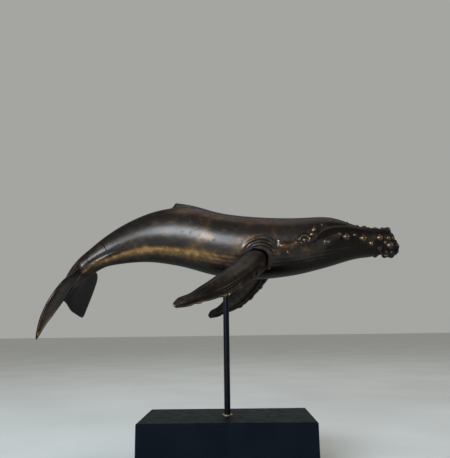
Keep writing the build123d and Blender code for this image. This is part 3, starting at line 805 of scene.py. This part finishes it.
def fluke_lobes():
    """Rings of both lobes from the near tip to the far one, turned and rolled on the tail."""
    turns = np.linspace(-np.pi / 2, np.pi / 2, FLUKE_RINGS)
    # Read by the arcsine of the span, which rounds the tips
    table = cubic(np.arcsin(FLUKE[:, 0]), FLUKE[:, 1:], np.abs(turns))
    cosine, sine = lens(FLUKE_AROUND)
    blunt = FLUKE_RIM * np.sign(sine) * np.clip(1 - cosine ** 2, 0, 1) ** FLUKE_RIM_POWER
    rings = []
    for span, (lead, trail, thick) in zip(np.sin(turns), table):
        share = abs(span)
        root_share = min(share / FLUKE[1, 0], 1)
        droop = -(FLUKE_ROOT_DROOP * root_share + FLUKE_DROOP * share) * FLUKE_SPAN
        along = ((lead + trail) / 2 + (lead - trail) / 2 * cosine) * FLUKE_SPAN
        if span < 0:
            longer = float(ramp(share, LONGER_FROM, 1.0))
            along = along + NEAR_LOBE_LONGER * longer
            droop -= NEAR_LOBE_LOWER * longer
        above = droop + sine * thick * FLUKE_SPAN + blunt * min(1, (1 - share) / TIP_SHARE)
        rings.append(fluke_place(along, span * FLUKE_SPAN, above))
    along = FLUKE_PIVOT * FLUKE_SPAN
    pivot = fluke_place(np.array(along), 0.0, 0.0)
    up = unit(fluke_place(np.array(along), 0.0, 1.0) - pivot)
    back = np.cross((0, 1, 0), up)
    roll = Matrix.Rotation(FLUKE_ROLL, 3, Vector(back))
    turn = Matrix.Rotation(FLUKE_TURN, 3, Vector(up))
    return (np.array(rings) - pivot) @ np.array(turn @ roll).T + pivot


def fluke_wear_and_painted_light(lobes):
    """How worn the lobes' rings are, with painted shade on the far lobe and a painted highlight
    line under the near one.
    """
    cosine, sine = lens(lobes.shape[1])
    near = ramp(np.linspace(-90, 90, len(lobes))[:, None], *NEAR_SPANS)
    # Under the near lobe: a painted highlight line, a grimy trailing rim and a lighter middle; its
    # top side is grimy
    line = (hills(cosine, NEAR_PAINTED_HIGHLIGHT_LINE) - REAR_GRIME * ramp(-cosine, *REAR_GRIME_EDGE)
            + MIDDLE_WEAR * ramp(cosine, *MIDDLE_EDGE))
    under = ramp(-sine, *UNDERSIDE)
    line = under * line - TOP_GRIME * (1 - under)
    # The far lobe: brown rims on a skin darkened as painted shade, more so on its underside
    edges = (FAR_FRONT_WEAR * ramp(cosine, *FAR_FRONT_EDGE)
             + FAR_REAR_WEAR * ramp(-cosine, *FAR_REAR_EDGE) - FAR_UNDER_PAINTED_SHADE * (sine < 0))
    worn = near * line + (1 - near) * (edges - FAR_LOBE_PAINTED_SHADE)
    front = ramp(cosine, *LEADING_EDGE)
    return worn * (1 - front) - LEADING_GRIME * front


def spread_wear(mesh, grids, wears):
    """The wear of the nearest place of any grid, at each vertex of the mesh."""
    places = np.concatenate([grid.reshape(-1, 3) for grid in grids]) * MM
    values = np.concatenate([wear.ravel() for wear in wears])
    tree = KDTree(len(places))
    for index, place in enumerate(places):
        tree.insert(place, index)
    tree.balance()
    return np.array([values[tree.find(vertex.co)[1]] for vertex in mesh.vertices])


def surface_tree(thing):
    mesh = thing.data
    places = [vertex.co for vertex in mesh.vertices]
    return BVHTree.FromPolygons(places, [polygon.vertices for polygon in mesh.polygons])


def applied(thing):
    """The thing's mesh with its modifiers applied, which are then taken off."""
    bpy.context.view_layer.update()
    graph = bpy.context.evaluated_depsgraph_get()
    mesh = bpy.data.meshes.new_from_object(thing.evaluated_get(graph))
    thing.modifiers.clear()
    return mesh


def grown_together(name, parts, crease_gap):
    """One smooth skin round overlapping parts, smoothed most where two of them meet."""
    joined = bmesh.new()
    for part in parts:
        joined.from_mesh(part.data)
    mesh = bpy.data.meshes.new(name)
    joined.to_mesh(mesh)
    joined.free()
    thing = linked(name, mesh)
    for part in parts:
        bpy.data.objects.remove(part)
    remesh = thing.modifiers.new("remesh", "REMESH")
    remesh.mode = "VOXEL"
    remesh.voxel_size = VOXEL * MM
    thing.data = applied(thing)
    group = thing.vertex_groups.new(name="fillet")
    for vertex in thing.data.vertices:
        fillet = math.exp(-(crease_gap(vertex.co) / FILLET_REACH) ** 2)
        group.add([vertex.index], min(SMOOTH_SHARE + fillet, 1.0), "REPLACE")
    smooth = thing.modifiers.new("smooth", "SMOOTH")
    smooth.factor = 0.5
    smooth.iterations = SMOOTH_ROUNDS
    smooth.vertex_group = "fillet"
    thing.data = applied(thing)
    thing.vertex_groups.clear()
    return thing


def cut_square(mesh, skin):
    """Cuts the tail off at its station, on the stock's own skin, and closes the cut."""
    back = Vector((rows[CUT_STATION, 0], 0, rows[CUT_STATION, 1])) * MM
    belly = Vector((rows[CUT_STATION, 2], 0, rows[CUT_STATION, 3])) * MM
    ahead = Vector((0, 1, 0)).cross(back - belly).normalized()
    shape = bmesh.new()
    shape.from_mesh(mesh)
    everything = shape.verts[:] + shape.edges[:] + shape.faces[:]
    bmesh.ops.bisect_plane(
        shape, geom=everything, plane_co=back, plane_no=ahead, clear_outer=True)
    for vertex in shape.verts:
        distance = (back - vertex.co).dot(ahead) / MM
        if distance < CUT_HOLD + CUT_EASE:
            near = 1 - max(distance - CUT_HOLD, 0) / CUT_EASE
            vertex.co = vertex.co.lerp(skin.find_nearest(vertex.co)[0], near)
    rim = [edge for edge in shape.edges if edge.is_boundary]
    bmesh.ops.holes_fill(shape, edges=rim, sides=0)
    bmesh.ops.recalc_face_normals(shape, faces=shape.faces)
    shape.to_mesh(mesh)
    shape.free()


def tail_object():
    """Tail stock and flukes grown together into one skin, cut square where the body starts."""
    along = np.linspace(0.0, knots[CUT_STATION] + STOCK_SPARE, STOCK_RINGS)
    angle = np.linspace(0, 2 * np.pi, AROUND, endpoint=False)
    grid_along, grid_angle = np.meshgrid(along, angle, indexing="ij")
    stock = body_points(grid_along, grid_angle)
    normals = outward_normals(stock, TAIL_PROBE)
    rise, stock_worn = sculpt(stock, normals, grid_angle)
    stock = stock + normals * (rise * ramp(grid_along, knots[1], knots[2]))[..., None]
    lobes = fluke_lobes()
    parts = [tube("stock", stock), tube("lobes", lobes)]
    skins = [surface_tree(part) for part in parts]

    def crease_gap(place):
        """How far a place is from where both skins meet, in millimetres."""
        return max(skin.find_nearest(place)[3] for skin in skins) / MM

    tail = grown_together("tail_casting", parts, crease_gap)
    cut_square(tail.data, skins[0])
    creases = np.array([crease_gap(vertex.co) for vertex in tail.data.vertices])
    worn = spread_wear(tail.data, (stock, lobes), (stock_worn, fluke_wear_and_painted_light(lobes)))
    # Painted light along the crease where the stock meets the lobes
    set_worn(tail, worn + CREASE_PAINTED_LIGHT * bump(creases, CREASE_PAINTED_LIGHT_WIDTH))
    return tail


def add(tree, kind, **settings):
    """A new node with its sockets and settings."""
    node = tree.nodes.new(kind)
    for name, value in settings.items():
        if name in node.inputs:
            node.inputs[name].default_value = value
        else:
            setattr(node, name, value)
    return node


def link(tree, source, target):
    tree.links.new(source, target)


def new_material(name):
    """An empty material, its node tree and the object's own coordinates in it."""
    material = bpy.data.materials.new(name)
    material.use_nodes = True
    tree = material.node_tree
    tree.nodes.clear()
    return material, tree, add(tree, "ShaderNodeTexCoord").outputs["Object"]


def noise(tree, place, scale, detail, roughness, distortion=0.0):
    node = add(tree, "ShaderNodeTexNoise",
               Scale=scale, Detail=detail, Roughness=roughness, Distortion=distortion)
    link(tree, place, node.inputs["Vector"])
    return node.outputs["Fac"]


def band(tree, value, low, high, start=0.0, end=1.0):
    """A smooth step from start, where the value is low, to end, where it is high."""
    node = add(tree, "ShaderNodeMapRange", interpolation_type="SMOOTHSTEP")
    for name, number in (("From Min", low), ("From Max", high), ("To Min", start), ("To Max", end)):
        node.inputs[name].default_value = number
    link(tree, value, node.inputs["Value"])
    return node.outputs["Result"]


def math_node(tree, operation, *values):
    node = add(tree, "ShaderNodeMath", operation=operation)
    for index, value in enumerate(values):
        if isinstance(value, (int, float)):
            node.inputs[index].default_value = value
        else:
            link(tree, value, node.inputs[index])
    return node.outputs[0]


def mix_colour(tree, share, first, second):
    node = add(tree, "ShaderNodeMix", data_type="RGBA")
    link(tree, share, node.inputs["Factor"])
    for socket, value in ((MIX_FIRST, first), (MIX_SECOND, second)):
        if isinstance(value, tuple):
            node.inputs[socket].default_value = (*value, 1)
        else:
            link(tree, value, node.inputs[socket])
    return node.outputs[MIX_RESULT]


def bump_node(tree, height, distance, strength):
    node = add(tree, "ShaderNodeBump", Distance=distance, Strength=strength)
    link(tree, height, node.inputs["Height"])
    return node.outputs["Normal"]


def finish_shader(tree, colour, roughness, normal=None, **settings):
    """The surface shader. Names of settings have _ for a space."""
    shader = add(tree, "ShaderNodeBsdfPrincipled")
    for name, value in settings.items():
        shader.inputs[name.replace("_", " ")].default_value = value
    link(tree, colour, shader.inputs["Base Color"])
    if isinstance(roughness, float):
        shader.inputs["Roughness"].default_value = roughness
    else:
        link(tree, roughness, shader.inputs["Roughness"])
    if normal:
        link(tree, normal, shader.inputs["Normal"])
    output = add(tree, "ShaderNodeOutputMaterial")
    link(tree, shader.outputs[0], output.inputs["Surface"])


def bronze():
    """Dark brown patina, rubbed through to golden metal on what stands out, whose colours also
    paint shade and highlights.
    """
    material, tree, place = new_material("bronze_patina")
    cloud = noise(tree, place, 26.0, 6.0, 0.62, 0.5)
    fine = noise(tree, place, 170.0, 5.0, 0.62)
    speck = noise(tree, place, 900.0, 3.0, 0.5)
    ragged = add(tree, "ShaderNodeAttribute", attribute_name="worn").outputs["Fac"]
    for pattern, strength in ((cloud, 1.5), (fine, 0.9)):
        centred = math_node(tree, "SUBTRACT", pattern, 0.5)
        ragged = math_node(tree, "MULTIPLY_ADD", centred, strength, ragged)
    colour = mix_colour(tree, band(tree, cloud, 0.35, 0.7), *PATINA)
    colour = mix_colour(tree, band(tree, fine, 0.5, 0.8), colour, WARM_PATINA)
    golden = mix_colour(tree, band(tree, fine, 0.3, 0.7), *GOLDEN_AND_HIGHLIGHT)
    # Rubbed brown and golden also paint the tail crease's light and the highlights on the near lobe
    # and flipper rims; grime also paints the shade under the belly and on the far lobe
    for low, high, coat in (
            (0.05, 0.45, RUBBED_BROWN_AND_PAINTED_LIGHT), (0.35, 0.95, golden), (-0.15, -0.75, GRIME_AND_PAINTED_SHADE)):
        colour = mix_colour(tree, band(tree, ragged, low, high), colour, coat)
    shine = band(tree, ragged, -0.6, 0.7, 0.32, 0.22)
    roughness = math_node(tree, "MULTIPLY_ADD", speck, 0.12, shine)
    roughness = math_node(tree, "ADD", roughness, band(tree, fine, 0.35, 0.7, -0.03, 0.12))
    height = math_node(tree, "ADD", math_node(tree, "MULTIPLY", fine, 0.5), cloud)
    finish_shader(tree, colour, roughness, bump_node(tree, height, 0.0012, 0.16), Metallic=1.0,
                  Coat_Weight=0.27, Coat_Roughness=0.24, Specular_Tint=BRONZE_TINT)
    return material


def lacquer():
    material, tree, place = new_material("black_lacquer")
    cloud = noise(tree, place, 18.0, 5.0, 0.6, 0.3)
    fine = noise(tree, place, 160.0, 4.0, 0.6)
    colour = mix_colour(tree, band(tree, cloud, 0.35, 0.7), *LACQUER)
    finish_shader(tree, colour, band(tree, fine, 0.3, 0.7, 0.46, 0.58),
                  bump_node(tree, cloud, 0.0006, 0.2), Specular_IOR_Level=0.05)
    return material


def black_rod():
    material, tree, place = new_material("black_rod")
    fine = noise(tree, place, 300.0, 3.0, 0.6)
    colour = mix_colour(tree, band(tree, fine, 0.35, 0.7), *ROD_BLACK)
    finish_shader(tree, colour, band(tree, fine, 0.3, 0.7, 0.34, 0.44), Specular_IOR_Level=0.1)
    return material


def metal(name, colour):
    material, tree, place = new_material(name)
    fine = noise(tree, place, 500.0, 3.0, 0.6)
    dull = tuple(DULL_SHARE * channel for channel in colour)
    mixed = mix_colour(tree, band(tree, fine, 0.3, 0.7), dull, colour)
    finish_shader(tree, mixed, band(tree, fine, 0.3, 0.7, 0.3, 0.42), Metallic=1.0)
    return material


def felt_material():
    material, tree, place = new_material("black_felt")
    fibre = noise(tree, place, 900.0, 5.0, 0.7)
    cloud = noise(tree, place, 120.0, 3.0, 0.5)
    colour = mix_colour(tree, band(tree, cloud, 0.3, 0.7), *FELT_BLACK)
    finish_shader(tree, colour, 0.95, bump_node(tree, fibre, 0.0004, 0.8), Sheen_Weight=0.4)
    return material


def felt_sheet():
    """The felt under the block, with edges that swell a little halfway up."""
    low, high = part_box("base_felt")
    xs = np.linspace(low.x, high.x, FELT_COLUMNS)
    ys = np.linspace(low.y, high.y, FELT_LINES)
    for places in (xs, ys):
        places[0] += FELT_EDGE
        places[-1] -= FELT_EDGE
    points = [(x, y, z) for z in (low.z, high.z - FELT_GAP) for x in xs for y in ys]
    top = FELT_COLUMNS * FELT_LINES
    faces = []
    for i in range(FELT_COLUMNS - 1):
        for j in range(FELT_LINES - 1):
            a = i * FELT_LINES + j
            b = a + FELT_LINES
            faces.append((a, a + 1, b + 1, b))
            faces.append((top + a, top + b, top + b + 1, top + a + 1))
    last = FELT_LINES - 1
    rim = [i * FELT_LINES for i in range(FELT_COLUMNS)]
    rim += [(FELT_COLUMNS - 1) * FELT_LINES + j for j in range(1, FELT_LINES)]
    rim += [i * FELT_LINES + last for i in range(FELT_COLUMNS - 2, -1, -1)]
    rim += list(range(last - 1, 0, -1))
    middle = len(points)
    for k in rim:
        x, y, z = points[k]
        points.append((x * FELT_SWELL, y * FELT_SWELL, (low.z + high.z) / 2))
    for k, first in enumerate(rim):
        n = (k + 1) % len(rim)
        faces.append((first, rim[n], middle + n, middle + k))
        faces.append((middle + k, middle + n, top + rim[n], top + first))
    mesh = bpy.data.meshes.new("felt_pad")
    mesh.from_pydata(points, [], faces)
    thing = linked("felt_pad", mesh)
    fix_normals(thing)
    return thing


bronze_patina = bronze()
body = whale_body()
left = flipper_object("left_fin_casting", False, LEFT_LIFT, LEFT_WEAR)
right = flipper_object("right_fin_casting", True, RIGHT_LIFT, RIGHT_WEAR)
tail = tail_object()
for thing, node in ((body, "whale_body"), (left, "left_flipper"), (right, "right_flipper"),
                    (tail, "tail_flukes")):
    place_whale(thing)
    shade_smooth(thing)
    thing.data.materials.append(bronze_patina)
    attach(thing, "root")
    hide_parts(node)

felt = felt_sheet()
felt.data.materials.append(felt_material())
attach(felt, "root")
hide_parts("base_felt")

brass = metal("brass", BRASS)
zinc = metal("zinc", ZINC)
coats = {
    "base_block": lacquer(), "support_rod": black_rod(), "rod_collar": brass,
    "rod_socket": bronze_patina, "base_washer": zinc, "lock_washer": zinc, "base_nut": zinc,
}
for node, material in coats.items():
    thing = frame["nodes"][node]
    if not thing.material_slots:
        thing.data.materials.append(material)
    for slot in thing.material_slots:
        slot.material = material


def floor():
    material, tree, place = new_material("pale_floor")
    cloud = noise(tree, place, 6.0, 4.0, 0.5)
    colour = mix_colour(tree, band(tree, cloud, 0.3, 0.7), *FLOOR_PALE)
    finish_shader(tree, colour, 0.7)
    corners = [(x * FLOOR_SIZE, y * FLOOR_SIZE, 0) for x, y in ((-1, -1), (1, -1), (1, 1), (-1, 1))]
    mesh = bpy.data.meshes.new("floor")
    mesh.from_pydata(corners, [], [(0, 1, 2, 3)])
    mesh.materials.append(material)
    thing = linked("floor", mesh)


def camera():
    data = bpy.data.cameras.new("camera")
    data.lens = SENSOR_WIDTH * CAMERA_FOCAL
    data.sensor_width = SENSOR_WIDTH
    data.clip_start = CLIP_START
    yaw, pitch, roll = (math.radians(angle) for angle in CAMERA_ANGLES)
    ahead = Vector((math.sin(yaw) * math.cos(pitch), math.cos(yaw) * math.cos(pitch),
                    math.sin(pitch)))
    sideways = Vector((math.cos(yaw), -math.sin(yaw), 0))
    upward = sideways.cross(ahead)
    turn = Matrix((sideways * math.cos(roll) + upward * math.sin(roll),
                   upward * math.cos(roll) - sideways * math.sin(roll), -ahead)).transposed()
    thing = linked("camera", data)
    thing.matrix_world = Matrix.Translation(CAMERA_PLACE) @ turn.to_4x4()
    bpy.context.scene.camera = thing


def world():
    scene = bpy.context.scene
    scene.world = scene.world or bpy.data.worlds.new("world")
    scene.world.use_nodes = True
    tree = scene.world.node_tree
    tree.nodes.clear()
    background = add(tree, "ShaderNodeBackground", Strength=1.0)
    background.inputs["Color"].default_value = BACKGROUND
    output = add(tree, "ShaderNodeOutputWorld")
    link(tree, background.outputs[0], output.inputs["Surface"])
    scene.view_settings.view_transform = "Standard"


def area_light(name, place, target, width, height, energy, colour, spread):
    data = bpy.data.lights.new(name, "AREA")
    data.shape = "RECTANGLE"
    data.size = width
    data.size_y = height
    data.spread = math.radians(spread)
    data.energy = energy
    data.color = colour
    lamp = linked(name, data)
    lamp.location = place
    lamp.rotation_mode = "QUATERNION"
    lamp.rotation_quaternion = (Vector(target) - Vector(place)).to_track_quat("-Z", "Y")


floor()
camera()
world()
for light in LIGHTS:
    area_light(*light)
